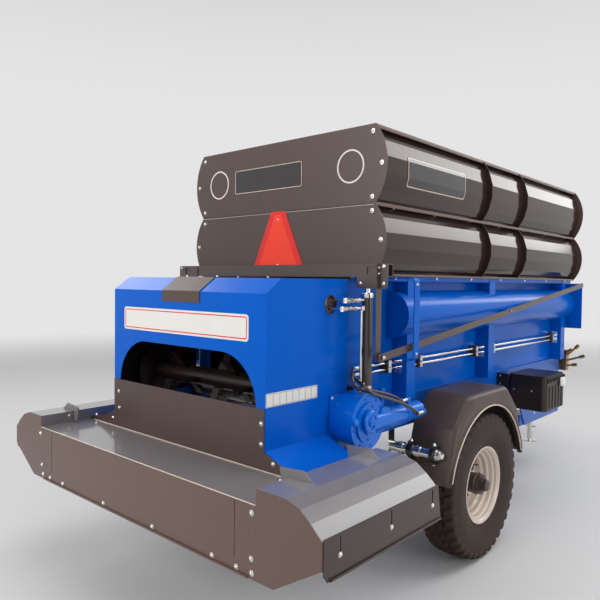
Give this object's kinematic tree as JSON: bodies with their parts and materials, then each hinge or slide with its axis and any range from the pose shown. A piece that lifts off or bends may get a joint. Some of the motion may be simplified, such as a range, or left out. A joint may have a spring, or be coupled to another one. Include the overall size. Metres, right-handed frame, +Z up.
{
  "type": "fertilizer spreader",
  "caption": "Towed single-axle manure and fertilizer spreader with floor conveyor, rear gate, beaters, spinner discs under a wide hood, and bolted extension sides.",
  "frame": {"origin": "on the ground, under the middle of the whole machine from the hood's rear panel to the towing eye", "axes": "+X forward towards the towing eye, +Y to the machine's left, +Z up"},
  "size_m": [5.426, 2.384, 2.432],
  "materials": {
    "blue_paint": "gloss",
    "anthracite_paint": "satin gloss",
    "black_paint": "satin",
    "zinc": "zinc plated",
    "chrome_pipe": "polished",
    "worn_steel": "bare, slightly oiled",
    "black_plastic": "moulded",
    "hose_rubber": "smooth",
    "tyre_rubber": "new",
    "rim_paint": "satin",
    "red_reflector": "retroreflective"
  },
  "bodies": {
    "spreader": {"chassis_frame": "blue_paint", "cross_members": "blue_paint", "axle": "blue_paint", "drawbar": "blue_paint", "towing_eye": "black_paint", "jack_tube": "black_paint", "side_walls": "blue_paint", "headboard": "blue_paint", "floor_pan": "worn_steel", "floor_chain": "worn_steel", "conveyor_shafts": "worn_steel", "floor_slats": "worn_steel", "side_beams": "blue_paint", "lower_tier_plates": "anthracite_paint", "lower_tier_sides": "anthracite_paint", "upper_tier_plates": "anthracite_paint", "upper_tier_sides": "anthracite_paint", "beater_housing": "blue_paint", "housing_sides": "blue_paint", "closure_plate": "anthracite_paint", "visor": "anthracite_paint", "hood_deck": "anthracite_paint", "hood_rear_panel": "anthracite_paint", "hood_end_plates": "anthracite_paint", "side_covers": "anthracite_paint", "cover_fins": "anthracite_paint", "side_flaps": "anthracite_paint", "spinner_drive": "blue_paint", "gate_cylinders": "black_paint", "conveyor_gearbox": "blue_paint", "pressure_pipes": "chrome_pipe", "upper_hose": "hose_rubber", "lower_hose": "hose_rubber", "couplings": "black_paint", "warning_triangle": "red_reflector", "fenders": "black_plastic", "fender_stays": "zinc", "toolbox": "black_plastic"},
    "wheel_right": {"tyre_right": "tyre_rubber", "rim_right": "rim_paint", "hub_right": "black_paint"},
    "wheel_left": {"tyre_left": "tyre_rubber", "rim_left": "rim_paint", "hub_left": "black_paint"},
    "jack_slide": {"jack_leg": "zinc"},
    "rear_gate": {"gate_plate": "worn_steel", "gate_crossbar": "anthracite_paint", "gate_rods": "chrome_pipe"},
    "indicator": {"indicator_bar": "anthracite_paint"},
    "beater_low": {"lower_beater": "worn_steel"},
    "beater_high": {"upper_beater": "worn_steel"},
    "disc_right": {"spinner_right": "worn_steel"},
    "disc_left": {"spinner_left": "worn_steel"},
    "drive_line": {"input_shaft": "worn_steel"},
    "box_lid": {"toolbox_lid": "black_plastic"}
  },
  "joints": [
    {"name": "wheel_right_spin", "type": "hinge", "parent": "spreader", "child": "wheel_right", "pos_m": [-0.859, -0.81, 0.4325], "axis": [0, 1, 0], "continuous": true},
    {"name": "wheel_left_spin", "type": "hinge", "parent": "spreader", "child": "wheel_left", "pos_m": [-0.859, 0.81, 0.4325], "axis": [0, 1, 0], "continuous": true},
    {"name": "jack_raise", "type": "slide", "parent": "spreader", "child": "jack_slide", "axis": [0, 0, 1], "range_m": [0, 0.25]},
    {"name": "gate_lift", "type": "slide", "parent": "spreader", "child": "rear_gate", "axis": [0, 0, 1], "range_m": [0, 0.4]},
    {"name": "indicator_swing", "type": "hinge", "parent": "spreader", "child": "indicator", "pos_m": [-0.258, -0.787, 1.442], "axis": [0, 1, 0], "range_deg": [0, 15]},
    {"name": "lower_beater_spin", "type": "hinge", "parent": "spreader", "child": "beater_low", "pos_m": [-2.137, 0, 1.105], "axis": [0, 1, 0], "continuous": true},
    {"name": "upper_beater_spin", "type": "hinge", "parent": "spreader", "child": "beater_high", "pos_m": [-2.137, 0, 1.44], "axis": [0, 1, 0], "continuous": true},
    {"name": "disc_right_spin", "type": "hinge", "parent": "spreader", "child": "disc_right", "pos_m": [-2.307, -0.345, 0.69], "axis": [0, 0, 1], "continuous": true},
    {"name": "disc_left_spin", "type": "hinge", "parent": "spreader", "child": "disc_left", "pos_m": [-2.307, 0.345, 0.69], "axis": [0, 0, 1], "continuous": true},
    {"name": "drive_line_spin", "type": "hinge", "parent": "spreader", "child": "drive_line", "pos_m": [-0.707, 0, 0.64], "axis": [1, 0, 0], "continuous": true},
    {"name": "toolbox_lid_hinge", "type": "hinge", "parent": "spreader", "child": "box_lid", "pos_m": [0.203, -0.646, 0.93], "axis": [-1, 0, 0], "range_deg": [0, 80]}
  ],
  "couplings": [
    {"joint": "indicator_swing", "follows": "gate_lift", "rad_per_m": 0.652},
    {"joint": "disc_left_spin", "follows": "disc_right_spin", "ratio": -1},
    {"joint": "drive_line_spin", "follows": "disc_right_spin", "ratio": 1},
    {"joint": "upper_beater_spin", "follows": "lower_beater_spin", "ratio": 1}
  ]
}
